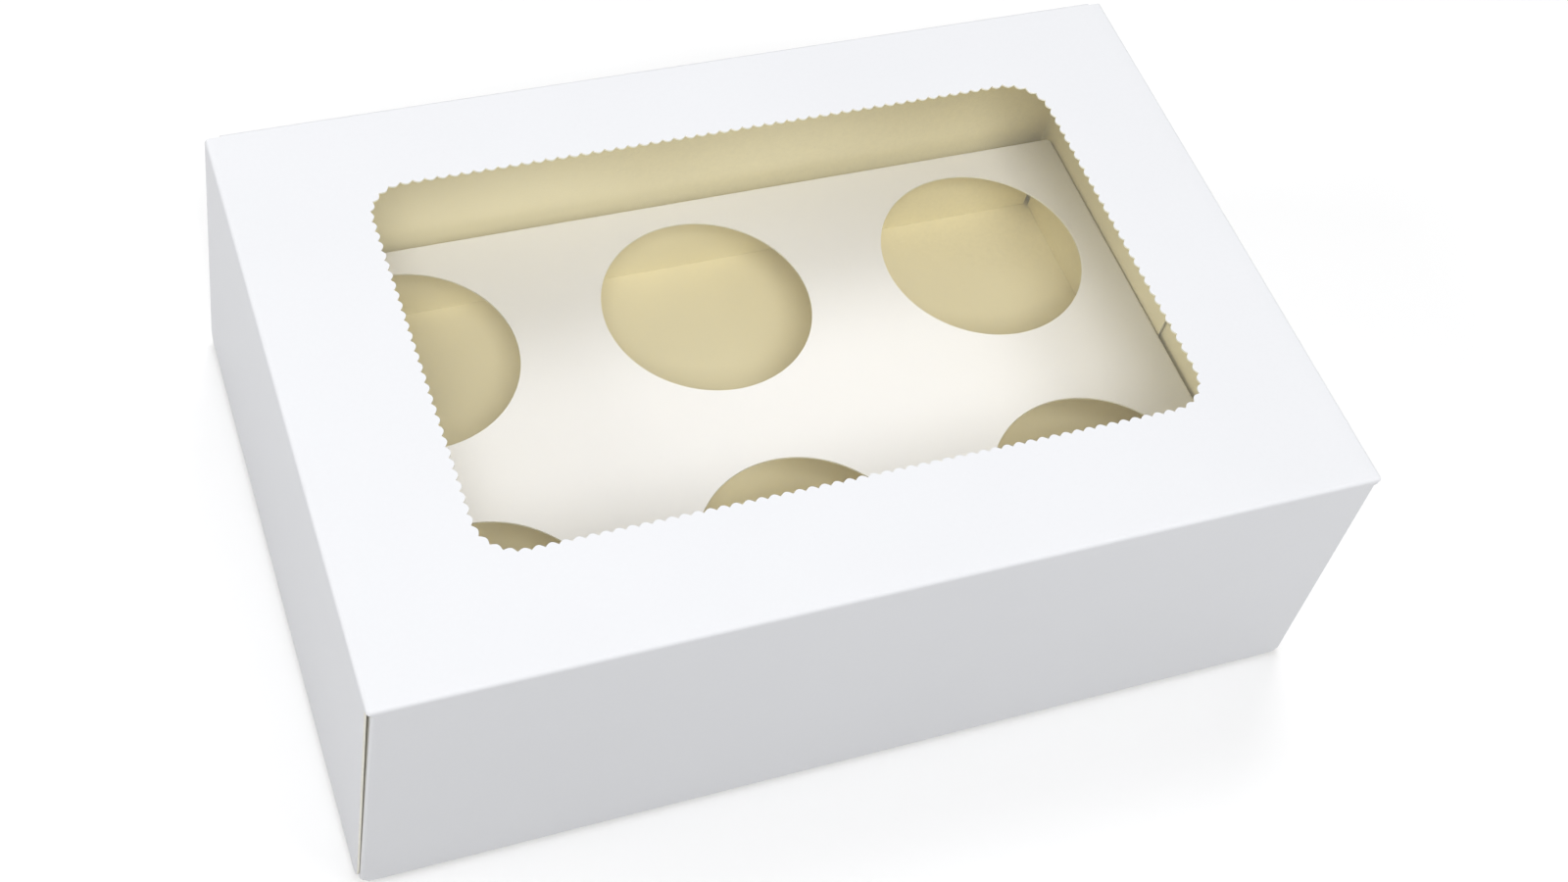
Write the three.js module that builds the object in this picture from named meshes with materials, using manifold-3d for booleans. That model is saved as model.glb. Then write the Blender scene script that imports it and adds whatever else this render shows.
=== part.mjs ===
// Cupcake box: a folded board tray with a hinged, windowed lid cut from the same sheet,
// a clear film glued behind the window and a loose insert with round cup holes.
// Millimetres. The origin is on the table under the middle of the closed box.
// X runs along the front, Y from the front to the hinge, Z up.
import * as THREE from "three";
import { mergeVertices } from "three/addons/utils/BufferGeometryUtils.js";
import Module from "manifold-3d";

// Board and folds
const boardThickness = 0.5;
const foldRadius = 1; // outer radius of every fold
const foldRelief = 0.6; // a flap is cut away this far beside the fold of its neighbour

// Closed box, outside
const boxLength = 240;
const boxWidth = 160;
const boxHeight = 78;

// Clearances
const sleeveGap = 0.35; // between two boards that slide past each other
const lidTopGap = 0.3; // between the walls' top edges and the underside of the lid
const skirtFloorGap = 1; // the lid's skirts stop this far above the table
const glueGap = 0.1; // the adhesive between the film and the board
const restGap = 0.3; // under a piece that only stands on another
const flapGap = 0.4; // between a corner flap and the side wall behind it

// Lid
const seamSetback = 1.9; // the side skirts stop this far behind the front face at their top
const seamFootSetback = 1.15; // and this far at their foot, so the seam narrows downwards
const rearSetback = 0.5; // between the side skirts and the rear face
const skirtCornerRadius = 3;
const lidTabLength = 38; // tabs of the front skirt, tucked between side skirt and side wall
const tabTaper = 6; // how much lower a tab or flap is at its free end, above and below
const hingeLip = 0.4; // the flat part of the hinge crease that turns down with the lid

// Window in the lid
const windowLeftMargin = 32.5;
const windowRightMargin = 30.2;
const windowFrontMargin = 29.9;
const windowRearMargin = 24.1;
const windowCornerRadius = 10;
const scallopPitch = 3;
const scallopDepth = 0.9;
const scallopSteps = 4; // points along each scallop
const filmThickness = 0.2;
const filmMargin = 9; // the film reaches this far past the window's edge

// Tray
const wallSetback = 0.25; // the side walls' upright edges, behind the faces beside them
const rearFlapLength = 76.5;
const frontFlapLength = 52;
const flapTopDrop = 0.4; // a corner flap's top edge below the wall's
const flapSlant = 3; // a flap reaches this much further at its top than at its foot

// Insert
const insertHeight = 27.6;
const insertLeftGap = 2.1; // from the insert to the corner flaps
const insertRightGap = 0.3;
const insertFrontGap = 5.5; // from the insert to the front and rear wall
const insertRearGap = 3.65;
const cupHoleRadius = 27.7;
const cupMarginLength = 8.9; // from a hole's rim to the insert's end
const cupMarginWidth = 7.8; // from a hole's rim to the insert's long side
const leastCupWeb = 12; // the narrowest board between two holes
const legInset = 9; // from the insert's corner to the leg
const legTaper = 5; // how much a leg narrows at each side towards its foot
const holeSegments = 60;

const wasm = await Module();
wasm.setup();

// Directions a profile's own x, y and depth take in the box
const ALONG_X = new THREE.Matrix4().makeBasis(
  new THREE.Vector3(0, 1, 0),
  new THREE.Vector3(0, 0, 1),
  new THREE.Vector3(1, 0, 0),
);
const ALONG_Y = new THREE.Matrix4().makeBasis(
  new THREE.Vector3(1, 0, 0),
  new THREE.Vector3(0, 0, 1),
  new THREE.Vector3(0, -1, 0),
);
const ALONG_Z = new THREE.Matrix4();

// A closed geometry as a solid that can be joined and cut.
function solid(geometry) {
  const bare = geometry.index ? geometry.toNonIndexed() : geometry.clone();
  bare.deleteAttribute("normal");
  bare.deleteAttribute("uv");
  const merged = mergeVertices(bare, 1e-4);
  return new wasm.Manifold(
    new wasm.Mesh({
      numProp: 3,
      vertProperties: merged.attributes.position.array,
      triVerts: new Uint32Array(merged.index.array),
    }),
  );
}

function join(solids) {
  return solids.reduce((all, one) => all.add(one));
}

// A shape pushed from one place to another along X, Y or Z.
// A shape along X lies in (y, z), along Y in (x, z) and along Z in (x, y).
function prism(shape, direction, from, to, curveSegments = 2) {
  const depth = to - from;
  const geometry = new THREE.ExtrudeGeometry(shape, { depth, bevelEnabled: false, curveSegments });
  geometry.translate(0, 0, direction === ALONG_Y ? -to : from);
  return solid(geometry.applyMatrix4(direction));
}

function polygon(corners) {
  return new THREE.Shape(corners.map(([x, y]) => new THREE.Vector2(x, y)));
}

// The section of a folded board. The corners trace its outside face and the board lies
// on the left of that line. Every inner corner is a fold to the left of 90 degrees.
function foldedSection(corners) {
  const points = corners.map(([x, y]) => new THREE.Vector2(x, y));
  const along = points.slice(1).map((p, i) => p.clone().sub(points[i]).normalize());
  const left = along.map((d) => new THREE.Vector2(-d.y, d.x));
  const innerRadius = foldRadius - boardThickness;
  const folds = points.slice(1, -1).map((corner, i) => ({
    centre: corner.clone().addScaledVector(along[i], -foldRadius).addScaledVector(left[i], foldRadius),
    start: Math.atan2(-left[i].y, -left[i].x),
    end: Math.atan2(-left[i + 1].y, -left[i + 1].x),
  }));
  const first = points[0].clone().addScaledVector(left[0], boardThickness);
  const last = points.at(-1).clone();
  const shape = new THREE.Shape();
  shape.moveTo(first.x, first.y);
  shape.lineTo(points[0].x, points[0].y);
  for (const { centre, start, end } of folds)
    shape.absarc(centre.x, centre.y, foldRadius, start, end, false);
  shape.lineTo(last.x, last.y);
  last.addScaledVector(left.at(-1), boardThickness);
  shape.lineTo(last.x, last.y);
  for (const { centre, start, end } of folds.toReversed())
    shape.absarc(centre.x, centre.y, innerRadius, end, start, true);
  return shape;
}

// A flat panel's outline in (y, z), with its two lower corners rounded. Its front edge
// leans forward by the lean on its way down.
function roundedPanel(front, lean, rear, bottom, top, radius) {
  const shape = new THREE.Shape();
  shape.moveTo(rear, top);
  shape.lineTo(front, top);
  const foot = front - lean;
  shape.absarc(foot + radius, bottom + radius, radius, Math.PI, 1.5 * Math.PI, false);
  shape.absarc(rear - radius, bottom + radius, radius, 1.5 * Math.PI, 2 * Math.PI, false);
  return shape;
}

// The same panel on the left and on the right, its outside faces at plus and minus outsideX.
function bothSides(shape, outsideX, curveSegments) {
  return prism(shape, ALONG_X, outsideX - boardThickness, outsideX, curveSegments).add(
    prism(shape, ALONG_X, -outsideX, boardThickness - outsideX, curveSegments),
  );
}

// A flap folded round an upright edge at each end of a front or rear wall.
// It lies in the (y, z) outline and its outside face is at plus and minus outsideX.
function cornerFlaps(outsideX, wallY, inward, outline) {
  const length = Math.abs(outline.reach - wallY);
  const wallStub = outsideX - 2 * foldRadius;
  const profile = [
    [wallStub, wallY],
    [outsideX, wallY],
    [outsideX, wallY + inward * length],
  ];
  const side = (sign) => {
    const corners = profile.map(([x, y]) => [sign * x, y]);
    return foldedSection(sign * inward > 0 ? corners : corners.toReversed());
  };
  const shape = polygon(outline.corners);
  return [-1, 1].map((sign) =>
    prism(side(sign), ALONG_Z, outline.bottom - 1, outline.top + 1).intersect(
      prism(shape, ALONG_X, -boxLength, boxLength),
    ),
  );
}

// A flap's outline in (y, z): upright at the wall, lower at its free end, and reaching
// further by the slant at its top than at its foot.
function flapOutline(wallY, inward, length, bottom, top, slant) {
  const reach = wallY + inward * length;
  const corners = [
    [wallY - inward, bottom],
    [wallY - inward, top],
    [wallY + inward * foldRadius, top],
    [reach + (inward * slant) / 2, top - tabTaper],
    [reach - (inward * slant) / 2, bottom + tabTaper],
    [wallY + inward * foldRadius, bottom],
  ];
  return { reach: reach + inward * slant, corners, bottom, top };
}

// Places that several pieces share
const halfLength = boxLength / 2;
const frontFace = -boxWidth / 2;
const rearFace = boxWidth / 2;
const lidUnderside = boxHeight - boardThickness;
const tabFace = halfLength - boardThickness - sleeveGap;
const sideWallFace = tabFace - boardThickness - sleeveGap;
const frontWallFace = frontFace + boardThickness + sleeveGap;
const flapFace = sideWallFace - boardThickness - flapGap;
const wallTop = lidUnderside - lidTopGap;
const hingeBottom = boxHeight - foldRadius - hingeLip;
const foldEnd = boxHeight - foldRadius - foldRelief;

const windowLeft = -halfLength + windowLeftMargin;
const windowRight = halfLength - windowRightMargin;
const windowFront = frontFace + windowFrontMargin;
const windowRear = rearFace - windowRearMargin;

// The window's outline: a rounded rectangle whose edge is cut in round scallops,
// each one a bulge of board into the opening.
function scallopedWindow() {
  const r = windowCornerRadius;
  const outline = new THREE.Path();
  outline.moveTo(windowLeft + r, windowFront);
  outline.lineTo(windowRight - r, windowFront);
  outline.absarc(windowRight - r, windowFront + r, r, -Math.PI / 2, 0, false);
  outline.lineTo(windowRight, windowRear - r);
  outline.absarc(windowRight - r, windowRear - r, r, 0, Math.PI / 2, false);
  outline.lineTo(windowLeft + r, windowRear);
  outline.absarc(windowLeft + r, windowRear - r, r, Math.PI / 2, Math.PI, false);
  outline.lineTo(windowLeft, windowFront + r);
  outline.absarc(windowLeft + r, windowFront + r, r, Math.PI, 1.5 * Math.PI, false);
  const scallops = Math.round(outline.getLength() / scallopPitch);
  const steps = scallops * scallopSteps;
  const points = [];
  for (let i = 0; i < steps; i += 1) {
    const place = outline.getPoint(i / steps);
    const along = outline.getTangent(i / steps);
    const bulge = scallopDepth * (Math.abs(Math.sin((Math.PI * i) / scallopSteps)) - 0.5);
    points.push(new THREE.Vector2(place.x - along.y * bulge, place.y + along.x * bulge));
  }
  return new THREE.Shape(points);
}

// The lid: top panel, two side skirts and a front skirt with a tab at each end.
function lid() {
  const foldReach = halfLength - foldRadius + boardThickness / 2;
  const skirtReach = tabFace - foldRadius;
  const hingeReach = flapFace - foldRadius;
  const across = foldedSection([
    [halfLength, foldEnd],
    [halfLength, boxHeight],
    [-halfLength, boxHeight],
    [-halfLength, foldEnd],
  ]);
  const frontDownTo = (end) =>
    foldedSection([
      [rearFace - foldRadius, boxHeight],
      [frontFace, boxHeight],
      [frontFace, end],
    ]);
  const hinge = foldedSection([
    [rearFace, hingeBottom],
    [rearFace, boxHeight],
    [0, boxHeight],
  ]);
  const sideSkirt = roundedPanel(
    frontFace + seamSetback,
    seamSetback - seamFootSetback,
    rearFace - rearSetback,
    skirtFloorGap,
    boxHeight - foldRadius,
    skirtCornerRadius,
  );
  const tab = flapOutline(frontFace, 1, lidTabLength, skirtFloorGap, foldEnd - foldRelief, 0);
  const blank = join([
    prism(across, ALONG_Y, frontFace + foldRadius, rearFace - foldRadius),
    prism(frontDownTo(foldEnd), ALONG_X, -foldReach, foldReach),
    prism(frontDownTo(skirtFloorGap), ALONG_X, -skirtReach, skirtReach),
    prism(hinge, ALONG_X, -hingeReach, hingeReach),
    bothSides(sideSkirt, halfLength, 4),
    ...cornerFlaps(tabFace, frontFace, 1, tab),
  ]);
  return blank.subtract(prism(scallopedWindow(), ALONG_Z, lidUnderside - 1, boxHeight + 1));
}

// The film: one flat sheet glued under the top panel round the window.
function windowFilm() {
  const corners = [
    [windowLeft - filmMargin, windowFront - filmMargin],
    [windowRight + filmMargin, windowFront - filmMargin],
    [windowRight + filmMargin, windowRear + filmMargin],
    [windowLeft - filmMargin, windowRear + filmMargin],
  ];
  const top = lidUnderside - glueGap;
  return prism(polygon(corners), ALONG_Z, top - filmThickness, top);
}

// The tray: bottom, four walls and the corner flaps of the front and rear wall.
function tray() {
  const across = foldedSection([
    [-sideWallFace, foldRadius + foldRelief],
    [-sideWallFace, 0],
    [sideWallFace, 0],
    [sideWallFace, foldRadius + foldRelief],
  ]);
  const along = foldedSection([
    [frontWallFace, wallTop],
    [frontWallFace, 0],
    [rearFace, 0],
    [rearFace, hingeBottom - lidTopGap],
  ]);
  const sideWall = polygon([
    [frontWallFace + wallSetback, foldRadius + foldRelief],
    [frontWallFace + foldRadius, foldRadius],
    [rearFace - foldRadius, foldRadius],
    [rearFace - wallSetback, foldRadius + foldRelief],
    [rearFace - wallSetback, wallTop],
    [frontWallFace + wallSetback, wallTop],
  ]);
  const flapBottom = foldRadius + foldRelief;
  const flapTop = hingeBottom - lidTopGap - flapTopDrop;
  const rearFlap = flapOutline(rearFace, -1, rearFlapLength, flapBottom, flapTop, flapSlant);
  const frontFlap = flapOutline(frontWallFace, 1, frontFlapLength, flapBottom, flapTop, flapSlant);
  const wallReach = flapFace - foldRadius;
  return join([
    prism(across, ALONG_Y, frontWallFace + foldRadius, rearFace - foldRadius),
    prism(along, ALONG_X, -wallReach, wallReach),
    bothSides(sideWall, sideWallFace),
    ...cornerFlaps(flapFace, rearFace, -1, rearFlap),
    ...cornerFlaps(flapFace, frontWallFace, 1, frontFlap),
  ]);
}

// Places of the cups along one side of the insert, evenly spaced between its margins.
function cupPlaces(side, margin) {
  const diameter = 2 * cupHoleRadius;
  const room = side - 2 * margin;
  const count = Math.max(1, Math.floor((room + leastCupWeb) / (diameter + leastCupWeb)));
  const pitch = count > 1 ? (room - diameter) / (count - 1) : 0;
  return Array.from({ length: count }, (_, i) => (i - (count - 1) / 2) * pitch);
}

// The insert: a flat deck with cup holes, standing on four folded legs.
function insert() {
  const left = boardThickness - flapFace + insertLeftGap;
  const right = flapFace - boardThickness - insertRightGap;
  const front = frontWallFace + boardThickness + insertFrontGap;
  const rear = rearFace - boardThickness - insertRearGap;
  const length = right - left;
  const width = rear - front;
  const foot = boardThickness + restGap;
  const deck = foot + insertHeight;
  const legTop = deck - foldRadius;
  const folded = (size) =>
    foldedSection([
      [size / 2, foot],
      [size / 2, deck],
      [-size / 2, deck],
      [-size / 2, foot],
    ]);
  const deckAndLegs = (size) => {
    const edge = size / 2 - foldRadius;
    const leg = size / 2 - legInset;
    return polygon([
      [-edge, deck + 1],
      [-edge, legTop],
      [-leg, legTop],
      [legTaper - leg, foot],
      [leg - legTaper, foot],
      [leg, legTop],
      [edge, legTop],
      [edge, deck + 1],
    ]);
  };
  const endLegs = prism(folded(length), ALONG_Y, -width, width).intersect(
    prism(deckAndLegs(width), ALONG_X, -length, length),
  );
  const sideLegs = prism(folded(width), ALONG_X, -length, length).intersect(
    prism(deckAndLegs(length), ALONG_Y, -width, width),
  );
  const punch = new THREE.CylinderGeometry(cupHoleRadius, cupHoleRadius, 4, holeSegments);
  const cup = solid(punch.rotateX(Math.PI / 2));
  const cups = cupPlaces(length, cupMarginLength).flatMap((x) =>
    cupPlaces(width, cupMarginWidth).map((y) => cup.translate(x, y, deck)),
  );
  const flat = endLegs.add(sideLegs).subtract(join(cups));
  return flat.translate((left + right) / 2, (front + rear) / 2, 0);
}

// A solid as a named mesh.
function piece(name, made, material) {
  const { numProp, vertProperties, triVerts } = made.getMesh();
  const geometry = new THREE.BufferGeometry();
  const positions = new Float32Array((vertProperties.length / numProp) * 3);
  for (let i = 0; i < positions.length / 3; i += 1)
    positions.set(vertProperties.subarray(i * numProp, i * numProp + 3), i * 3);
  geometry.setAttribute("position", new THREE.BufferAttribute(positions, 3));
  geometry.setIndex(new THREE.BufferAttribute(triVerts, 1));
  const flat = geometry.toNonIndexed();
  flat.computeVertexNormals();
  const mesh = new THREE.Mesh(flat, material);
  mesh.name = name;
  return mesh;
}

const whiteBoard = new THREE.MeshStandardMaterial({ color: 0xf4f4f6, roughness: 0.55, metalness: 0 });
const creamBoard = new THREE.MeshStandardMaterial({ color: 0xece6cf, roughness: 0.8, metalness: 0 });
const clearFilm = new THREE.MeshStandardMaterial({
  color: 0xf6f8fa,
  roughness: 0.08,
  metalness: 0,
  transparent: true,
  opacity: 0.15,
});

const box = new THREE.Group();
box.name = "cupcake_box";
box.add(piece("tray", tray(), creamBoard));
box.add(piece("lid", lid(), whiteBoard));
box.add(piece("window_film", windowFilm(), clearFilm));
box.add(piece("insert", insert(), whiteBoard));

export default box;
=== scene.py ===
"""Cupcake box: folded white board with a cream reverse, a scalloped window and a holed insert.

Each board is a folded sheet: its outside face is worked out as grids of points,
the grids are joined edge to edge and the sheet is given the board's thickness.
Metres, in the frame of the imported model: X along the front, Y towards the hinge, Z up.
"""
import math

import bpy
import numpy as np
from bpy.props import FloatProperty, FloatVectorProperty, PointerProperty
from mathutils import Matrix, Vector


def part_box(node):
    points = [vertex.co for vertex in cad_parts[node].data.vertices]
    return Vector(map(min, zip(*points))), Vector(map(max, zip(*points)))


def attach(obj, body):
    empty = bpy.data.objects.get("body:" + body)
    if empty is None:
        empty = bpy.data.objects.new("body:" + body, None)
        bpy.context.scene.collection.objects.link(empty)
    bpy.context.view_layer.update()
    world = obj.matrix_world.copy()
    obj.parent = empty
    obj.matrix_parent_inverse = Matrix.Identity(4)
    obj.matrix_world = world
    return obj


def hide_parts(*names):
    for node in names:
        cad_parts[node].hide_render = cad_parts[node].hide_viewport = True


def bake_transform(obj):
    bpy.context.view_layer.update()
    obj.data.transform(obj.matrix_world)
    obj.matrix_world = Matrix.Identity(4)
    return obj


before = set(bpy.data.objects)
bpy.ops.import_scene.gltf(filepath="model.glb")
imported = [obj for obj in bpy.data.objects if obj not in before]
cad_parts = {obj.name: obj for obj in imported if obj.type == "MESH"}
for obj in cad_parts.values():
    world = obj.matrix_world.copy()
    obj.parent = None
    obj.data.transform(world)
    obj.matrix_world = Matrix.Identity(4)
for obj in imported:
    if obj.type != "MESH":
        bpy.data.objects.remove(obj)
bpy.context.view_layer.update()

bl_info = {
    "name": "Cupcake Box",
    "version": (1, 0, 0),
    "blender": (4, 5, 0),
    "location": "3D View > Sidebar > Cupcake Box",
    "description": "Makes a folded cupcake box with a scalloped window and a holed insert",
    "category": "Add Mesh",
}

MM = 0.001
WELD = 1e-7  # points nearer than this, in metres, are one point
TINY = 1e-12  # keeps a division from going by nothing
SHARP_ANGLE = math.radians(35)  # edges that bend by more than this stay sharp
X_AXIS = np.array((1.0, 0.0, 0.0))
Y_AXIS = np.array((0.0, 1.0, 0.0))
Z_AXIS = np.array((0.0, 0.0, 1.0))

# How finely the sheets are divided
FOLD_STEPS = 8
BALL_STEPS = 6
CREASE_STEPS, CREASE_ROWS = 12, 5
FLAP_ROWS = 12
SKIRT_LINES = 25
WALL_LINES = 27
WIDE_LINES, DEEP_LINES = 81, 61
FILM_COLUMNS, FILM_LINES = 61, 41
LEG_ROWS = 8
CELL_STEPS, CELL_ROWS = 24, 5
SCALLOP_SAMPLES = 6
PANEL_SHARES = (0.2, 0.45, 0.7, 0.9, 1.0)

SMOOTH_ROW = 1.6 * MM  # the first row without scallops lies this far outside the window
RELIEF_SHARE = 0.009  # share of a side skirt's height that is cut away below its fold
RADII_PER_HOLE = 2.7  # a side has one hole for each of this many hole radii
FIRST_CORNER = math.radians(225)  # direction of a cell's front left corner

# Roughness, depth of the fibres and specular level of each finish
FINISHES = {
    "coated_face": (0.5, 0.01, 0.25),
    "cream_reverse": (0.85, 0.04, 0.2),
    # the cut edge's colour is partly its own pale colour and partly a painted highlight
    "cut_edge": (0.9, 0.05, 0.1),
}
SHADE = 0.985  # a board's darker tone as a share of its colour
ROUGHNESS_SPREAD = 0.05
NOISE_SPAN = (0.3, 0.7)  # most values of a noise lie between these
FILM = {"Roughness": 0.06, "IOR": 1.5, "Alpha": 0.035}

# Scale and detail of each noise, and strength and depth of each bump
CLOUDS, SPECKS, WAVES, RIPPLES = (18, 3), (900, 4), (28, 2), (16, 1)
WAVE_BUMP, GRAIN_BUMP, RIPPLE_BUMP = (0.5, 0.2 * MM), (0.35, 0.02 * MM), (0.3, 0.3 * MM)

FLOOR_REACH = 5.0
FLOOR_DROP = 0.2 * MM
FLOOR_FINISH = {"Roughness": 0.9, "Specular IOR Level": 0.1, "Emission Color": (1, 1, 1, 1)}
FLOOR_SEEN = (0.94, 0.94, 0.94, 1)
LAMP_SIZES = {"key": 0.7, "rear": 0.7, "left": 0.5, "right": 0.4}
BOX_MIDDLE = (0, 0, 0.04)
SENSOR_WIDTH = 36
CLIP_START, CLIP_END = 0.01, 50


def srgb(red, green, blue):
    """A colour given in 0 to 255 screen values, as linear values."""
    c = np.array((red, green, blue)) / 255
    return tuple(np.where(c <= 0.04045, c / 12.92, ((c + 0.055) / 1.055) ** 2.4))


def length(name, description, millimetres):
    """A setting for a length, given in millimetres and kept in metres."""
    return FloatProperty(
        name=name,
        description=description,
        default=millimetres * MM,
        min=0,
        unit="LENGTH",
        precision=5,
    )


def colour(name, description, default):
    """A setting for a colour, in linear values."""
    return FloatVectorProperty(
        name=name,
        description=description,
        default=default,
        min=0,
        max=1,
        size=3,
        subtype="COLOR",
    )


def place(name, description, metres):
    """A setting for a point."""
    return FloatVectorProperty(
        name=name,
        description=description,
        default=metres,
        subtype="TRANSLATION",
        unit="LENGTH",
        precision=5,
    )


def power(name, description, watts):
    """A setting for a lamp's power."""
    return FloatProperty(name=name, description=description, default=watts, min=0, unit="POWER")


def angle(name, description, degrees):
    """A setting for an angle, given in degrees and kept in radians."""
    return FloatProperty(
        name=name,
        description=description,
        default=math.radians(degrees),
        subtype="ANGLE",
    )


class BoardSettings(bpy.types.PropertyGroup):
    """The board that the lid, the tray and the insert are folded from."""

    thickness: length("Thickness", "Thickness of the board", 0.5)
    fold_radius: length("Fold radius", "Outer radius of every fold", 1.0)
    relief: length("Relief", "Board cut away beside a fold", 0.6)
    # Painted light: the coated white is set darker than the board is, with brighter lamps to make
    # up, so that the shaded inside of the box comes out lighter
    coated_white: colour("Coated white", "Colour of the printed side", srgb(226, 227, 230))
    cream_reverse: colour("Cream reverse", "Colour of the bare side", srgb(251, 242, 203))
    # Cut edges: their own pale colour, raised nearly to white as a painted highlight along the
    # window's scallops and the other cut edges
    cut_edge: colour("Cut edge", "Colour of the cut edges", srgb(252, 250, 238))
    # The deck's white is lighter than the coated white partly because the insert's board is whiter
    # and partly as painted light, standing in for the light the shade inside the box takes away
    deck_white: colour("Deck white", "Colour of the insert's upper side", srgb(244, 243, 242))


class LidSettings(bpy.types.PropertyGroup):
    """The lid's skirts, tabs and window."""

    seam_at_top: length("Seam at top", "Side skirt's edge behind the front face, at the top", 1.9)
    seam_at_foot: length("Seam at foot", "The same at the foot of the skirt", 1.15)
    rear_setback: length("Rear setback", "Side skirt's edge before the rear face", 0.5)
    skirt_corner: length("Skirt corner", "Radius of the side skirts' lower corners", 3.0)
    front_corner: length("Front corner", "Radius of the front skirt's lower corners", 1.2)
    tab_length: length("Tab length", "Length of the front skirt's tabs", 38.0)
    tab_at_top: length("Tab at top", "From the side face to the tab's outside, at the top", 1.15)
    tab_at_foot: length("Tab at foot", "The same at the tab's foot", 0.62)
    taper: length("Taper", "How much lower a tab or flap is at its free end", 6.0)
    window_corner: length("Window corner", "Radius of the window's corners", 10.0)
    scallop_pitch: length("Scallop pitch", "Length of one scallop", 3.0)
    scallop_depth: length("Scallop depth", "Depth of the scallops", 0.9)
    film_margin: length("Film margin", "How far the film reaches past the window", 9.0)
    film_thickness: length("Film thickness", "Thickness of the film", 0.2)
    film_colour: colour("Film", "Colour of the film", srgb(252, 252, 250))


class TraySettings(bpy.types.PropertyGroup):
    """The tray's walls and corner flaps."""

    wall_setback: length("Wall setback", "Side wall's upright edges behind the faces", 0.25)
    flap_gap: length("Flap gap", "Between a corner flap and the side wall", 0.4)
    rear_flap: length("Rear flap", "Length of the rear corner flaps", 76.5)
    front_flap: length("Front flap", "Length of the front corner flaps", 52.0)
    flap_slant: length("Flap slant", "How much further a flap reaches at its top", 3.0)
    flap_top: length("Flap top", "Height of the corner flaps' top edge", 75.9)


class InsertSettings(bpy.types.PropertyGroup):
    """The insert's cup holes and legs."""

    hole_radius: length("Hole radius", "Radius of the cup holes", 27.7)
    end_margin: length("End margin", "From a hole's rim to the insert's end", 8.9)
    side_margin: length("Side margin", "From a hole's rim to the insert's long side", 7.8)
    foot_gap: length("Foot gap", "Between the legs and the tray they stand on", 0.08)
    leg_inset: length("Leg inset", "From the insert's corner to the leg", 1.0)
    leg_taper: length("Leg taper", "How much a leg narrows towards its foot", 0.4)


class StageSettings(bpy.types.PropertyGroup):
    """The camera, the light and the floor."""

    camera_place: place("Camera", "Place of the camera", (-0.18872, -0.31274, 0.51625))
    azimuth: angle("Azimuth", "Turn of the view about the upright axis", -29.40)
    elevation: angle("Elevation", "How far the camera looks down", 49.44)
    roll: angle("Roll", "Turn of the camera about its own axis", 12.90)
    focal_length: FloatProperty(
        name="Focal length",
        description="Lens of the camera on a sensor 36 mm wide",
        default=55.77,
        min=1,
        unit="CAMERA",
    )
    shift_x: FloatProperty(name="Shift X", description="Sideways shift of the lens", default=0.0226)
    shift_y: FloatProperty(name="Shift Y", description="Upward shift of the lens", default=-0.1132)
    sky: FloatProperty(name="Sky", description="Strength of the even light", default=0.36, min=0)
    key_place: place("Key", "Place of the large lamp above the front", (-0.44, -1.16, 1.75))
    key: power("Key", "Power of the large lamp above the front", 22.3)
    rear_place: place("Rear lamp", "Place of the lamp above the rear", (0.32, 0.6, 1.32))
    rear: power("Rear lamp", "Power of the lamp above the rear", 6.4)
    left_place: place("Left lamp", "Place of the lamp at the left", (-0.8, 0.1, 0.45))
    left: power("Left lamp", "Power of the lamp at the left", 2.3)
    right_place: place("Right lamp", "Place of the lamp at the right front", (0.55, -0.62, 0.36))
    right: power("Right lamp", "Power of the lamp at the right front", 1.3)
    fade_start: length("Fade start", "Where the floor begins to turn white", 350)
    fade_end: length("Fade end", "Where the floor is seen as white", 1100)
    floor: colour("Floor", "Colour of the floor in the light it sends back", (0.42, 0.42, 0.42))


# Grids of points


def fold(edge, out, turn, radius, steps=FOLD_STEPS):
    """A fold along a straight edge: rows of a quarter turn from one direction to another.

    Row a is the edge plus out times R sin a plus turn times R (1 - cos a), a from 0 to 90 degrees.
    """
    a = np.linspace(0, math.pi / 2, steps + 1)[:, None, None]
    return edge[None] + out * radius * np.sin(a) + turn * radius * (1 - np.cos(a))


def between(first, last, rows):
    """Rows of points in a straight blend from one edge to another: first (1 - v) + last v."""
    v = np.linspace(0, 1, rows + 1)[:, None, None]
    return first[None] * (1 - v) + last[None] * v


def edge_points(x, y, z):
    """An edge as points, each of x, y and z being one number or an array."""
    return np.stack(np.broadcast_arrays(*np.atleast_1d(x, y, z)), axis=-1).astype(float)


def patch(grid, outward):
    """A grid of points with its quads turned so that the first row of them faces outward."""
    rows, columns = grid.shape[:2]
    n = np.arange(rows * columns).reshape(rows, columns)
    quads = np.stack([n[:-1, :-1], n[1:, :-1], n[1:, 1:], n[:-1, 1:]], axis=-1).reshape(-1, 4)
    points = grid.reshape(-1, 3)
    a, b, c, d = points[quads[: columns - 1]].transpose(1, 0, 2)
    normal = np.cross(c - a, d - b).sum(axis=0)
    return points, quads if normal @ outward > 0 else quads[:, ::-1]


def weld(patches):
    """One sheet from several patches: points that coincide become one point."""
    sizes = [len(points) for points, _ in patches]
    starts = np.cumsum([0] + sizes[:-1])
    points = np.concatenate([p for p, _ in patches])
    quads = np.concatenate([q + s for (_, q), s in zip(patches, starts)])
    keys = np.round(points / WELD).astype(np.int64)
    _, first, which = np.unique(keys, axis=0, return_index=True, return_inverse=True)
    return points[first], which.reshape(-1)[quads]


def point_normals(points, quads):
    """The mean direction of the quads round each point, weighted by their areas."""
    a, b, c, d = points[quads].transpose(1, 0, 2)
    faces = np.cross(c - a, d - b)
    normals = np.zeros_like(points)
    for corner in quads.T:
        np.add.at(normals, corner, faces)
    return normals / np.maximum(np.linalg.norm(normals, axis=1, keepdims=True), TINY)


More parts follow.
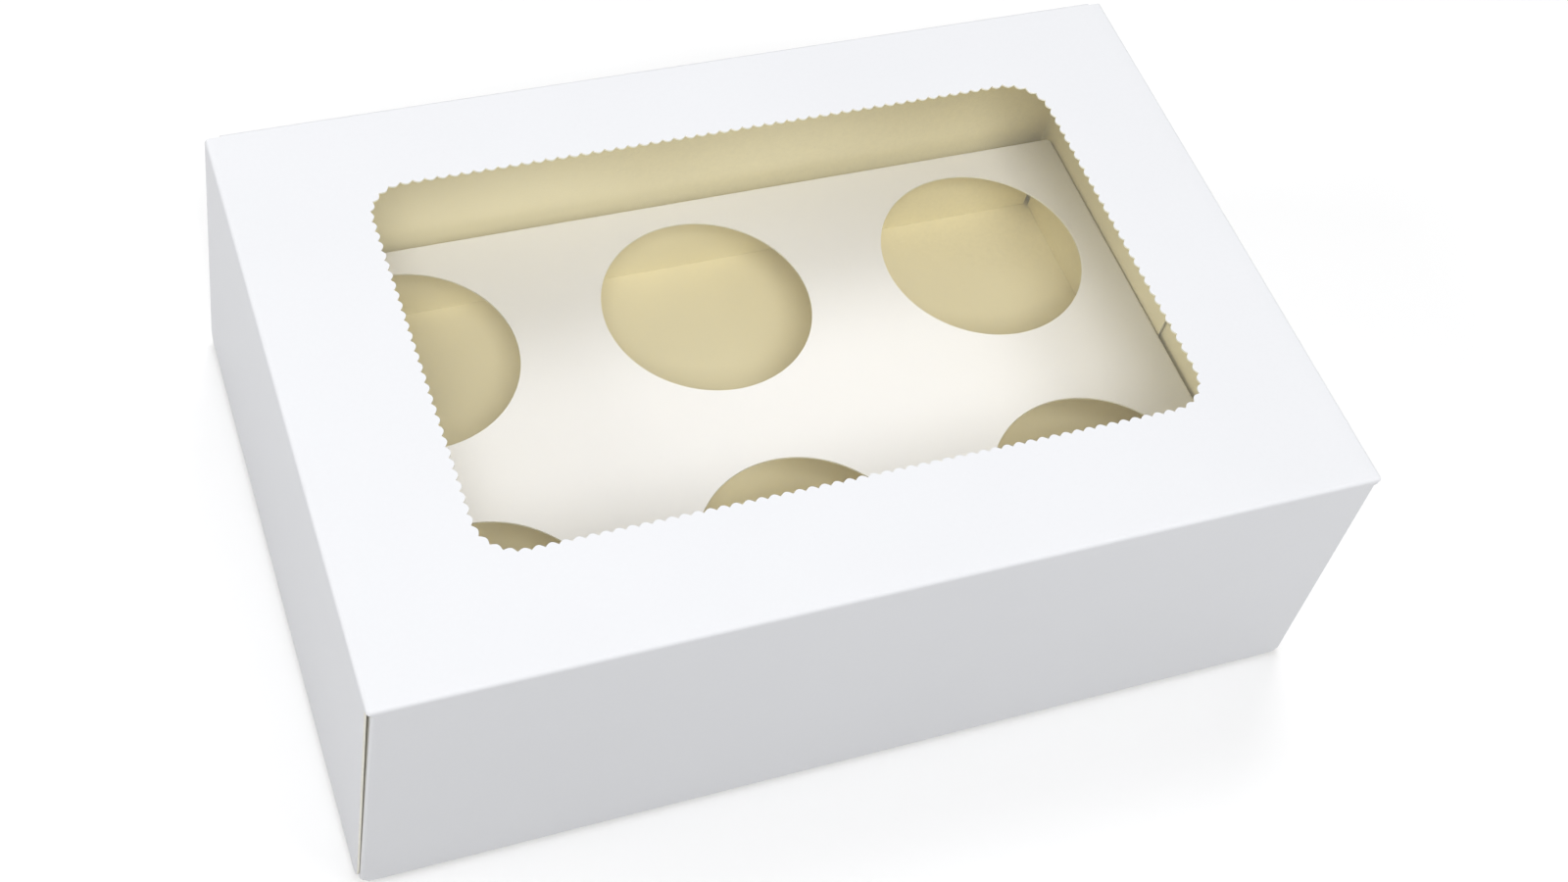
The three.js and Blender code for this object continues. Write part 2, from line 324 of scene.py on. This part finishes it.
def thicken(points, quads, thickness):
    """A closed board: the sheet, a copy of it moved inwards along its normals, and a rim.

    An edge that only one quad uses is a cut edge, and carries one quad of the rim.
    Returns the points, the quads and each quad's side: 0 outside, 1 reverse, 2 cut edge.
    """
    count = len(points)
    inner = points - thickness * point_normals(points, quads)
    starts = quads.reshape(-1)
    ends = np.roll(quads, -1, axis=1).reshape(-1)
    real = starts != ends
    starts, ends = starts[real], ends[real]
    cut = ~np.isin(starts * count + ends, ends * count + starts)
    a, b = starts[cut], ends[cut]
    rim = np.stack([b, a, a + count, b + count], axis=-1)
    everything = np.concatenate([quads, quads[:, ::-1] + count, rim])
    sides = np.repeat([0, 1, 2], [len(quads), len(quads), len(rim)])
    return np.concatenate([points, inner]), everything, sides


def new_piece(name, points, quads, sides, materials):
    """A smooth mesh object whose faces take the material of their side.

    A quad with two corners at one point is written as a triangle.
    """
    kept = quads != np.roll(quads, -1, axis=1)
    totals = kept.sum(axis=1)
    corners = quads[kept]
    mesh = bpy.data.meshes.new(name)
    mesh.vertices.add(len(points))
    mesh.vertices.foreach_set("co", points.astype(np.float32).ravel())
    mesh.loops.add(len(corners))
    mesh.loops.foreach_set("vertex_index", corners.astype(np.int32))
    mesh.polygons.add(len(quads))
    mesh.polygons.foreach_set("loop_start", (np.cumsum(totals) - totals).astype(np.int32))
    mesh.polygons.foreach_set("material_index", sides.astype(np.int32))
    mesh.polygons.foreach_set("use_smooth", np.ones(len(quads), dtype=bool))
    mesh.update(calc_edges=True)
    if mesh.validate():
        raise RuntimeError(name + " came out with broken faces")
    mesh.set_sharp_from_angle(angle=SHARP_ANGLE)
    for material in materials:
        mesh.materials.append(material)
    piece = bpy.data.objects.new(name, mesh)
    bpy.context.scene.collection.objects.link(piece)
    return piece


def corner_rise(from_end, radius):
    """How far a rounded corner rises: R - sqrt(R R - (R - d)(R - d)), d from the end, up to R."""
    d = np.clip(from_end, 0, radius)
    return radius - np.sqrt(np.maximum(radius**2 - (radius - d) ** 2, 0))


def flap(wall_edge, out, turn, radius, reach, top_drop, bottom_rise, slant):
    """A fold along an upright wall edge and the flat flap beyond it, as two patches.

    The flap's points run straight from the fold to the free end. The free end is lower by
    top_drop and higher at its foot by bottom_rise, and leans outwards by slant at its top.
    """
    turned = fold(wall_edge, out, turn, radius)
    hinge = turned[-1]
    height = hinge[:, 2]
    low, high = height.min(), height.max()
    share = (height - low) / (high - low)
    end_height = (low + bottom_rise) * (1 - share) + (high - top_drop) * share
    run = (reach - radius + slant * (share - 0.5))[:, None]
    end = hinge + turn * run
    end[:, 2] = end_height
    return [patch(turned, turn * -1), patch(between(hinge, end, FLAP_ROWS), out)]


# Materials


def node(tree, kind, **values):
    """A new node with some of its properties set."""
    made = tree.nodes.new(kind)
    for key, value in values.items():
        setattr(made, key, value)
    return made


def new_material(name):
    """A material with an empty Principled shader, returned with its node tree and shader."""
    material = bpy.data.materials.new(name)
    material.use_nodes = True
    tree = material.node_tree
    return material, tree, tree.nodes["Principled BSDF"]


def noise_from(tree, coordinates, scale, detail):
    """A noise in the object's own space."""
    made = node(tree, "ShaderNodeTexNoise")
    made.inputs["Scale"].default_value = scale
    made.inputs["Detail"].default_value = detail
    tree.links.new(coordinates.outputs["Object"], made.inputs["Vector"])
    return made.outputs["Fac"]


def map_range(tree, value, source, target, interpolation="LINEAR"):
    """A value taken from the source range to the target range, and held inside it."""
    made = node(tree, "ShaderNodeMapRange", interpolation_type=interpolation)
    made.inputs["From Min"].default_value, made.inputs["From Max"].default_value = source
    made.inputs["To Min"].default_value, made.inputs["To Max"].default_value = target
    tree.links.new(value, made.inputs["Value"])
    return made.outputs["Result"]


def bump(tree, height, strength, depth, below=None):
    """A bump, on top of the one below where there is one."""
    made = node(tree, "ShaderNodeBump")
    made.inputs["Strength"].default_value = strength
    made.inputs["Distance"].default_value = depth
    tree.links.new(height, made.inputs["Height"])
    if below:
        tree.links.new(below, made.inputs["Normal"])
    return made.outputs["Normal"]


def paint_board(name, base):
    """Board: a colour that wanders a little towards a shade, long soft waves and fine fibres."""
    roughness, fibre, specular = FINISHES[name]
    material, tree, shader = new_material(name)
    coordinates = node(tree, "ShaderNodeTexCoord")
    clouds = noise_from(tree, coordinates, *CLOUDS)
    specks = noise_from(tree, coordinates, *SPECKS)
    tint = node(tree, "ShaderNodeMix", data_type="RGBA")
    tint.inputs["A"].default_value = (*base, 1)
    tint.inputs["B"].default_value = (*(c * SHADE for c in base), 1)
    tree.links.new(map_range(tree, clouds, NOISE_SPAN, (0, 1)), tint.inputs["Factor"])
    flecks = node(tree, "ShaderNodeMix", data_type="RGBA", blend_type="MULTIPLY")
    flecks.inputs["Factor"].default_value = 1
    tree.links.new(tint.outputs["Result"], flecks.inputs["A"])
    tree.links.new(map_range(tree, specks, NOISE_SPAN, (1 - fibre, 1)), flecks.inputs["B"])
    tree.links.new(flecks.outputs["Result"], shader.inputs["Base Color"])
    spread = (roughness - ROUGHNESS_SPREAD, roughness + ROUGHNESS_SPREAD)
    tree.links.new(map_range(tree, specks, (0, 1), spread), shader.inputs["Roughness"])
    shader.inputs["Specular IOR Level"].default_value = specular
    waves = bump(tree, noise_from(tree, coordinates, *WAVES), *WAVE_BUMP)
    tree.links.new(bump(tree, specks, *GRAIN_BUMP, waves), shader.inputs["Normal"])
    return material


def board_materials(board, outside):
    """The three finishes of one board: outside face, cream reverse and cut edge."""
    tones = (outside, board.cream_reverse, board.cut_edge)
    return [paint_board(name, tuple(tone)) for name, tone in zip(FINISHES, tones)]


def seen_directly(tree):
    """One for rays from the camera, off a gloss or through a clear thing, and else nothing."""
    path = node(tree, "ShaderNodeLightPath")
    either = node(tree, "ShaderNodeMath", operation="MAXIMUM")
    tree.links.new(path.outputs["Is Camera Ray"], either.inputs[0])
    tree.links.new(path.outputs["Is Glossy Ray"], either.inputs[1])
    any_of_three = node(tree, "ShaderNodeMath", operation="MAXIMUM")
    tree.links.new(either.outputs[0], any_of_three.inputs[0])
    tree.links.new(path.outputs["Is Transmission Ray"], any_of_three.inputs[1])
    return any_of_three.outputs[0]


def film_material(tone):
    """Clear film: thin, glossy and almost unseen, with faint long ripples."""
    material, tree, shader = new_material("clear_film")
    shader.inputs["Base Color"].default_value = (*tone, 1)
    for socket, value in FILM.items():
        shader.inputs[socket].default_value = value
    coordinates = node(tree, "ShaderNodeTexCoord")
    ripples = bump(tree, noise_from(tree, coordinates, *RIPPLES), *RIPPLE_BUMP)
    tree.links.new(ripples, shader.inputs["Normal"])
    return material


# The window


def window_frame(lid):
    """The window's left, right, front and rear straight edges, inside the film's margins."""
    low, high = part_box("window_film")
    margin = lid.film_margin
    return low[0] + margin, high[0] - margin, low[1] + margin, high[1] - margin


def window_outline(lid, share, offset):
    """Points of the window's outline at shares of its length, and that length.

    The outline is a rounded rectangle, run anticlockwise from the middle of its front edge.
    Share s of the way round, the point lies on a straight edge or on a corner's arc, and is
    moved by the offset along the inward normal.
    """
    left, right, front, rear = window_frame(lid)
    r = lid.window_corner
    wide, deep = right - left - 2 * r, rear - front - 2 * r
    arc = math.pi * r / 2
    lengths = np.array([wide / 2, arc, deep, arc, wide, arc, deep, arc, wide / 2])
    ends = np.cumsum(lengths)
    way = (share % 1) * ends[-1]
    part = np.minimum(np.searchsorted(ends, way, side="right"), len(lengths) - 1)
    along = way - (ends[part] - lengths[part])
    starts = np.array([
        ((left + right) / 2, front), (0, 0), (right, front + r), (0, 0), (right - r, rear),
        (0, 0), (left, rear - r), (0, 0), (left + r, front),
    ])
    centres = np.array([
        (0, 0), (right - r, front + r), (0, 0), (right - r, rear - r), (0, 0),
        (left + r, rear - r), (0, 0), (left + r, front + r), (0, 0),
    ])
    heading = (part // 2) * math.pi / 2
    ahead = np.stack([np.cos(heading), np.sin(heading)], axis=-1)
    straight = starts[part] + along[:, None] * ahead
    turn = heading - math.pi / 2 + along / r
    bent = centres[part] + r * np.stack([np.cos(turn), np.sin(turn)], axis=-1)
    on_arc = part % 2 == 1
    outwards = np.where(on_arc, turn, heading - math.pi / 2)
    points = np.where(on_arc[:, None], bent, straight)
    normal = np.stack([np.cos(outwards), np.sin(outwards)], axis=-1)
    return points - offset[:, None] * normal, ends[-1]


def scalloped_panel(lid, reach_x, front, rear, height):
    """The top panel: rows of points from the scalloped window out to the panel's fold lines.

    The first row is the window's outline moved inwards by depth (|sin| - 1/2), once per
    scallop. The next rows run straight to the outer rectangle. Returns four patches and the
    four outer edges, in the order right, rear, left, front.
    """
    _, perimeter = window_outline(lid, np.zeros(1), np.zeros(1))
    scallops = round(perimeter / lid.scallop_pitch)
    count = scallops * SCALLOP_SAMPLES
    share = np.arange(count) / count
    wave = np.abs(np.sin(np.pi * np.arange(count) / SCALLOP_SAMPLES))
    bulge = lid.scallop_depth * (wave - 0.5)
    edge, _ = window_outline(lid, share, bulge)
    smooth, _ = window_outline(lid, share, np.full(count, -SMOOTH_ROW))
    corners = np.array([(reach_x, front), (reach_x, rear), (-reach_x, rear), (-reach_x, front)])
    corner_samples = [int(np.argmax(smooth @ (np.sign(c) * (1, 1)))) for c in corners]
    patches, outer_edges = [], []
    for k in range(4):
        first, last = corner_samples[k], corner_samples[(k + 1) % 4]
        steps = (last - first) % count
        pick = (first + np.arange(steps + 1)) % count
        v = np.linspace(0, 1, steps + 1)[:, None]
        outer = corners[k] * (1 - v) + corners[(k + 1) % 4] * v
        rows = [edge[pick], smooth[pick]]
        rows += [smooth[pick] * (1 - w) + outer * w for w in PANEL_SHARES]
        grid = np.stack([edge_points(r[:, 0], r[:, 1], height) for r in rows])
        patches.append(patch(grid, Z_AXIS))
        outer_edges.append(grid[-1])
    return patches, outer_edges


# Operators, one for each piece


class CUPCAKEBOX_OT_lid(bpy.types.Operator):
    """Fold the lid: top panel with its scalloped window, side skirts, front skirt and tabs"""

    bl_idname = "cupcake_box.make_lid"
    bl_label = "Make Lid"

    def execute(self, context):
        board, lid = context.scene.box_board, context.scene.box_lid
        low, high = (np.array(v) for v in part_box("lid"))
        radius = board.fold_radius
        fold_foot = high[2] - radius
        relief_foot = fold_foot - board.relief
        tab_top = relief_foot - board.relief
        sheet, edges = scalloped_panel(
            lid, high[0] - radius, low[1] + radius, high[1] - radius, high[2]
        )
        right_edge, _, left_edge, front_edge = edges
        for sign, edge in ((1, right_edge), (-1, left_edge)):
            sheet += self.side_skirt(board, lid, edge, sign, low, high)
        turned = fold(front_edge, -Y_AXIS, -Z_AXIS, radius)
        sheet.append(patch(turned, Z_AXIS))
        above_tabs = (fold_foot, relief_foot)
        heights = np.concatenate([above_tabs, np.linspace(tab_top, low[2], SKIRT_LINES)])
        reach = turned[-1, :, 0].max()
        fall = np.clip((tab_top - heights) / (tab_top - low[2]), 0, 1)
        tab_reach = reach - lid.tab_at_top * (1 - fall) - lid.tab_at_foot * fall
        widths = np.where(heights > tab_top + WELD, reach, tab_reach)
        skirt = np.stack([
            edge_points(turned[-1, :, 0] * w / reach, low[1], z) for w, z in zip(widths, heights)
        ])
        skirt[-1, :, 2] += corner_rise(tab_reach[-1] - np.abs(skirt[-1, :, 0]), lid.front_corner)
        sheet.append(patch(skirt, -Y_AXIS))
        for sign in (1, -1):
            side = skirt[len(above_tabs) :, 0 if skirt[0, 0, 0] * sign > 0 else -1]
            sheet += flap(
                side, X_AXIS * sign, Y_AXIS, radius, lid.tab_length, lid.taper, lid.taper, 0
            )
            sheet.append(
                self.ball_corner(high[0] - radius, low[1] + radius, fold_foot, radius, sign)
            )
        points, quads = weld(sheet)
        finished = thicken(points, quads, board.thickness)
        piece = new_piece("lid_board", *finished, board_materials(board, board.coated_white))
        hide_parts("lid")
        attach(piece, "lid")
        return {"FINISHED"}

    def side_skirt(self, board, lid, edge, sign, low, high):
        """The fold and skirt at one side.

        Row by row down the skirt the front edge goes from the fold's end to the seam, and
        the foot rises over a circle of the corner's radius at both lower corners.
        """
        turned = fold(edge, X_AXIS * sign, -Z_AXIS, board.fold_radius)
        top = turned[-1]
        span = (top[:, 1] - top[:, 1].min()) / np.ptp(top[:, 1])
        v = np.concatenate([[0], np.linspace(0, 1, SKIRT_LINES)])[:, None]
        v[1:] = v[1:] * (1 - RELIEF_SHARE) + RELIEF_SHARE
        seam = lid.seam_at_top * (1 - v) + lid.seam_at_foot * v
        front = np.where(v > 0, low[1] + seam, top[:, 1].min())
        rear = np.where(v > 0, high[1] - lid.rear_setback, top[:, 1].max())
        y = front * (1 - span) + rear * span
        foot = low[2] + corner_rise(np.minimum(y - front, rear - y), lid.skirt_corner)
        z = top[:, 2] * (1 - v) + foot * v
        skirt = edge_points(top[:, 0], y, z)
        return [patch(turned, Z_AXIS), patch(skirt, X_AXIS * sign)]

    def ball_corner(self, reach, front, height, radius, sign):
        """An eighth of a ball between the front fold and a side fold.

        The point at angle b down from the top and a round from the front is the centre plus
        R (sin b sin a, -sin b cos a, cos b).
        """
        a = np.linspace(0, math.pi / 2, BALL_STEPS + 1)[None, :]
        b = np.linspace(0, math.pi / 2, FOLD_STEPS + 1)[:, None]
        grid = np.stack(
            [
                sign * (reach + radius * np.sin(b) * np.sin(a)),
                front - radius * np.sin(b) * np.cos(a),
                height + radius * np.cos(b) + 0 * a,
            ],
            axis=-1,
        )
        return patch(grid, Z_AXIS)


class CUPCAKEBOX_OT_window_film(bpy.types.Operator):
    """Lay the clear film under the window"""

    bl_idname = "cupcake_box.make_window_film"
    bl_label = "Make Window Film"

    def execute(self, context):
        lid = context.scene.box_lid
        low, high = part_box("window_film")
        x = np.linspace(low[0], high[0], FILM_COLUMNS)
        y = np.linspace(low[1], high[1], FILM_LINES)
        grid = np.stack([edge_points(x, row, high[2]) for row in y])
        points, quads = weld([patch(grid, Z_AXIS)])
        points, quads, sides = thicken(points, quads, lid.film_thickness)
        film = film_material(lid.film_colour)
        piece = new_piece("window_sheet", points, quads, sides * 0, [film])
        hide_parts("window_film")
        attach(piece, "lid")
        return {"FINISHED"}


class CUPCAKEBOX_OT_tray(bpy.types.Operator):
    """Fold the tray: bottom, four walls and the corner flaps"""

    bl_idname = "cupcake_box.make_tray"
    bl_label = "Make Tray"

    def execute(self, context):
        board, tray = context.scene.box_board, context.scene.box_tray
        taper = context.scene.box_lid.taper
        low, high = (np.array(v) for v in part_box("tray"))
        radius = board.fold_radius
        foot = radius + board.relief
        flap_face = high[0] - board.thickness - tray.flap_gap
        wall_reach = flap_face - radius
        side_reach = high[0] - radius
        between_walls = np.linspace(-wall_reach, wall_reach, WIDE_LINES)
        x = np.concatenate([[-side_reach], between_walls, [side_reach]])
        y = np.linspace(low[1] + radius, high[1] - radius, DEEP_LINES)
        sheet = [patch(np.stack([edge_points(x, row, 0) for row in y]), -Z_AXIS)]
        for sign in (1, -1):
            edge = edge_points(sign * side_reach, y, 0)
            turned = fold(edge, X_AXIS * sign, Z_AXIS, radius)
            heights = np.concatenate([[radius], np.linspace(foot, high[2], WALL_LINES)])
            inset = np.where(heights > radius, tray.wall_setback, radius)[:, None]
            span = (y - y[0]) / np.ptp(y)
            across = (low[1] + inset) * (1 - span) + (high[1] - inset) * span
            wall = edge_points(sign * high[0], across, heights[:, None])
            sheet += [patch(turned, -Z_AXIS), patch(wall, X_AXIS * sign)]
        for face, edge_y, reach in ((-1, low[1], tray.front_flap), (1, high[1], tray.rear_flap)):
            out = Y_AXIS * face
            edge = edge_points(x[1:-1], edge_y - face * radius, 0)
            turned = fold(edge, out, Z_AXIS, radius)
            top = [high[2]] if face < 0 else []
            heights = np.linspace(foot, tray.flap_top, WALL_LINES)
            heights = np.concatenate([[radius], heights, top])
            wall = np.stack([edge_points(x[1:-1], edge_y, z) for z in heights])
            sheet += [patch(turned, -Z_AXIS), patch(wall, out)]
            for sign in (1, -1):
                upright = wall[1 : WALL_LINES + 1, -1 if sign > 0 else 0]
                sheet += flap(
                    upright, X_AXIS * sign, -out, radius, reach, taper, taper, tray.flap_slant
                )
        points, quads = weld(sheet)
        finished = thicken(points, quads, board.thickness)
        piece = new_piece("tray_board", *finished, board_materials(board, board.coated_white))
        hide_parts("tray")
        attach(piece, "tray")
        return {"FINISHED"}


class CUPCAKEBOX_OT_insert(bpy.types.Operator):
    """Fold the insert: a deck with round cup holes on four legs"""

    bl_idname = "cupcake_box.make_insert"
    bl_label = "Make Insert"

    def execute(self, context):
        board, insert = context.scene.box_board, context.scene.box_insert
        low, high = (np.array(v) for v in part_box("insert"))
        radius = board.fold_radius
        hole = insert.hole_radius
        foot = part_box("tray")[0][2] + board.thickness + insert.foot_gap
        x_holes, x_lines = self.hole_lines(low[0], high[0], insert.end_margin, hole, radius)
        y_holes, y_lines = self.hole_lines(low[1], high[1], insert.side_margin, hole, radius)
        sheet = []
        for i, x in enumerate(x_holes):
            for j, y in enumerate(y_holes):
                cell = (x_lines[i], x_lines[i + 1], y_lines[j], y_lines[j + 1])
                sheet.append(self.cell_round_hole(cell, x, y, hole, high[2]))
        for sign in (1, -1):
            for along, across, lines, others in (
                (Y_AXIS, X_AXIS, y_lines, x_lines), (X_AXIS, Y_AXIS, x_lines, y_lines),
            ):
                side = others[-1] if sign > 0 else others[0]
                run = self.cell_steps(lines)
                edge = run[:, None] * along + side * across + high[2] * Z_AXIS
                sheet += self.leg(insert, board, edge, across * sign, along, foot)
        points, quads = weld(sheet)
        finished = thicken(points, quads, board.thickness)
        # the deck's lighter white is partly painted light for the shade inside the box
        piece = new_piece("insert_board", *finished, board_materials(board, board.deck_white))
        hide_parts("insert")
        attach(piece, "tray")
        return {"FINISHED"}

    def hole_lines(self, low, high, margin, hole, radius):
        """Hole centres along one side, and the lines between their cells."""
        count = max(1, round((high - low) / (RADII_PER_HOLE * hole)))
        centres = np.linspace(low + margin + hole, high - margin - hole, count)
        middles = (centres[1:] + centres[:-1]) / 2
        return centres, np.concatenate([[low + radius], middles, [high - radius]])

    def cell_steps(self, lines):
        """Places along a side: each cell's side in equal steps."""
        steps = [np.linspace(a, b, CELL_STEPS + 1)[:-1] for a, b in zip(lines[:-1], lines[1:])]
        return np.concatenate(steps + [lines[-1:]])

    def cell_round_hole(self, cell, x, y, hole, height):
        """The board of one cell, from its round hole out to its four sides.

        A side's point at share v of the cell's outline is joined to the circle's point at
        the angle of that side's own quarter, and rows run straight between them.
        """
        left, right, front, rear = cell
        v = np.linspace(0, 1, CELL_STEPS + 1)[:-1]
        square = np.concatenate([
            edge_points(left + (right - left) * v, front, height),
            edge_points(right, front + (rear - front) * v, height),
            edge_points(right - (right - left) * v, rear, height),
            edge_points(left, rear - (rear - front) * v, height),
        ])
        count = len(square)
        a = FIRST_CORNER + 2 * math.pi * np.arange(count) / count
        circle = edge_points(x + hole * np.cos(a), y + hole * np.sin(a), height)
        square = np.concatenate([square, square[:1]])
        circle = np.concatenate([circle, circle[:1]])
        return patch(between(circle, square, CELL_ROWS), Z_AXIS)

    def leg(self, insert, board, edge, out, along, foot):
        """The fold at one side of the deck and the leg below it, narrower towards its foot.

        The leg hangs from the fold's points that are at least leg_inset from the insert's
        corners. At share v down it, a point c from its middle moves to
        c (1 - taper v / reach), where reach is half the leg's width.
        """
        turned = fold(edge, out, -Z_AXIS, board.fold_radius)
        top = turned[-1]
        run = top @ along
        middle, half = (run.max() + run.min()) / 2, np.ptp(run) / 2
        reach = half + board.fold_radius - insert.leg_inset
        line = top[np.abs(run - middle) <= reach + WELD]
        v = np.linspace(0, 1, LEG_ROWS + 1)[:, None, None]
        shrink = 1 - insert.leg_taper * v / reach
        offset = (line @ along - middle)[None, :, None]
        leg = line[None] + along * offset * (shrink - 1)
        leg[..., 2] = line[:, 2] * (1 - v[..., 0]) + foot * v[..., 0]
        return [patch(turned, Z_AXIS), patch(leg, out)]


class CUPCAKEBOX_OT_hinge_crease(bpy.types.Operator):
    """Fold the hinge crease that joins the tray's rear wall to the lid"""

    bl_idname = "cupcake_box.make_hinge_crease"
    bl_label = "Make Hinge Crease"

    def execute(self, context):
        board, tray = context.scene.box_board, context.scene.box_tray
        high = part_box("lid")[1]
        radius = board.fold_radius
        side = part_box("tray")[1][0]
        reach = side - board.thickness - tray.flap_gap - radius
        x = np.linspace(-reach, reach, WIDE_LINES)
        top_edge = edge_points(x, high[1] - radius, high[2])
        turned = fold(top_edge, Y_AXIS, -Z_AXIS, radius, CREASE_STEPS)
        foot = edge_points(x, high[1], tray.flap_top)
        wall = between(turned[-1], foot, CREASE_ROWS)
        points, quads = weld([patch(turned, Z_AXIS), patch(wall, Y_AXIS)])
        finished = thicken(points, quads, board.thickness)
        piece = new_piece("hinge_crease", *finished, board_materials(board, board.coated_white))
        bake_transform(piece)
        return {"FINISHED"}


class CUPCAKEBOX_OT_stage(bpy.types.Operator):
    """Set the floor, the light and the camera"""

    bl_idname = "cupcake_box.make_stage"
    bl_label = "Make Stage"

    def execute(self, context):
        stage = context.scene.box_stage
        self.floor(stage)
        self.sky(context.scene, stage)
        for name, size in LAMP_SIZES.items():
            spot, watts = getattr(stage, name + "_place"), getattr(stage, name)
            self.lamp(name + "_lamp", spot, size, watts)
        self.camera(context.scene, stage)
        context.scene.view_settings.view_transform = "Standard"
        return {"FINISHED"}

    def floor(self, stage):
        """A flat pale floor that keeps the box's shadow and is seen as white far from it."""
        lines = np.linspace(-FLOOR_REACH, FLOOR_REACH, 3)
        grid = np.stack([edge_points(lines, y, -FLOOR_DROP) for y in lines])
        points, quads = patch(grid, Z_AXIS)
        material, tree, shader = new_material("floor_paper")
        for socket, value in FLOOR_FINISH.items():
            shader.inputs[socket].default_value = value
        seen = seen_directly(tree)
        tone = node(tree, "ShaderNodeMix", data_type="RGBA")
        tone.inputs["A"].default_value = (*stage.floor, 1)
        tone.inputs["B"].default_value = FLOOR_SEEN
        tree.links.new(seen, tone.inputs["Factor"])
        tree.links.new(tone.outputs["Result"], shader.inputs["Base Color"])
        coordinates = node(tree, "ShaderNodeTexCoord")
        distance = node(tree, "ShaderNodeVectorMath", operation="LENGTH")
        tree.links.new(coordinates.outputs["Object"], distance.inputs[0])
        fade_range = (stage.fade_start, stage.fade_end)
        fade = map_range(tree, distance.outputs["Value"], fade_range, (0, 1), "SMOOTHSTEP")
        glow = node(tree, "ShaderNodeMath", operation="MULTIPLY")
        tree.links.new(fade, glow.inputs[0])
        tree.links.new(seen, glow.inputs[1])
        tree.links.new(glow.outputs[0], shader.inputs["Emission Strength"])
        piece = new_piece("floor", points, quads, np.zeros(len(quads)), [material])

    def sky(self, scene, stage):
        """An even sky, white where it is seen."""
        world = bpy.data.worlds.new("studio")
        world.use_nodes = True
        tree = world.node_tree
        background = tree.nodes["Background"]
        background.inputs["Color"].default_value = (1, 1, 1, 1)
        strength = map_range(tree, seen_directly(tree), (0, 1), (stage.sky, 1))
        tree.links.new(strength, background.inputs["Strength"])
        scene.world = world

    def lamp(self, name, spot, size, watts):
        """A square soft lamp that faces the middle of the box."""
        light = bpy.data.lights.new(name, "AREA")
        light.size = size
        light.energy = watts
        lamp = bpy.data.objects.new(name, light)
        lamp.location = spot
        lamp.rotation_mode = "QUATERNION"
        towards = Vector(BOX_MIDDLE) - lamp.location
        lamp.rotation_quaternion = towards.to_track_quat("-Z", "Y")
        bpy.context.scene.collection.objects.link(lamp)

    def camera(self, scene, stage):
        """The camera looks along its azimuth and down by its elevation, then rolls."""
        data = bpy.data.cameras.new("camera")
        data.lens = stage.focal_length
        data.sensor_width = SENSOR_WIDTH
        data.shift_x = stage.shift_x
        data.shift_y = stage.shift_y
        data.clip_start = CLIP_START
        data.clip_end = CLIP_END
        a, e = stage.azimuth, stage.elevation
        level = math.cos(e)
        forward = Vector((-math.sin(a) * level, math.cos(a) * level, -math.sin(e)))
        right = forward.cross(Vector((0, 0, 1))).normalized()
        up = right.cross(forward)
        turn = Matrix((right, up, -forward)).transposed() @ Matrix.Rotation(stage.roll, 3, "Z")
        camera = bpy.data.objects.new("camera", data)
        camera.matrix_world = Matrix.Translation(stage.camera_place) @ turn.to_4x4()
        scene.collection.objects.link(camera)
        scene.camera = camera


class CUPCAKEBOX_PT_panel(bpy.types.Panel):
    """Lists the settings and the makers of the cupcake box"""

    bl_label = "Cupcake Box"
    bl_idname = "CUPCAKEBOX_PT_panel"
    bl_space_type = "VIEW_3D"
    bl_region_type = "UI"
    bl_category = "Cupcake Box"

    def draw(self, context):
        for maker in MAKERS:
            self.layout.operator(maker.bl_idname)
        for name, settings in SETTINGS.items():
            column = self.layout.column(heading=settings.__name__)
            for key in settings.__annotations__:
                column.prop(getattr(context.scene, name), key)


SETTINGS = {
    "box_board": BoardSettings,
    "box_lid": LidSettings,
    "box_tray": TraySettings,
    "box_insert": InsertSettings,
    "box_stage": StageSettings,
}
MAKERS = (
    CUPCAKEBOX_OT_lid,
    CUPCAKEBOX_OT_window_film,
    CUPCAKEBOX_OT_tray,
    CUPCAKEBOX_OT_insert,
    CUPCAKEBOX_OT_hinge_crease,
    CUPCAKEBOX_OT_stage,
)


def register():
    for group in (*SETTINGS.values(), *MAKERS, CUPCAKEBOX_PT_panel):
        bpy.utils.register_class(group)
    for name, settings in SETTINGS.items():
        setattr(bpy.types.Scene, name, PointerProperty(type=settings))


def unregister():
    for name in SETTINGS:
        delattr(bpy.types.Scene, name)
    for group in reversed((*SETTINGS.values(), *MAKERS, CUPCAKEBOX_PT_panel)):
        bpy.utils.unregister_class(group)


def main():
    register()
    bpy.ops.cupcake_box.make_lid()
    bpy.ops.cupcake_box.make_window_film()
    bpy.ops.cupcake_box.make_tray()
    bpy.ops.cupcake_box.make_insert()
    bpy.ops.cupcake_box.make_hinge_crease()
    bpy.ops.cupcake_box.make_stage()


if __name__ == "__main__":
    main()
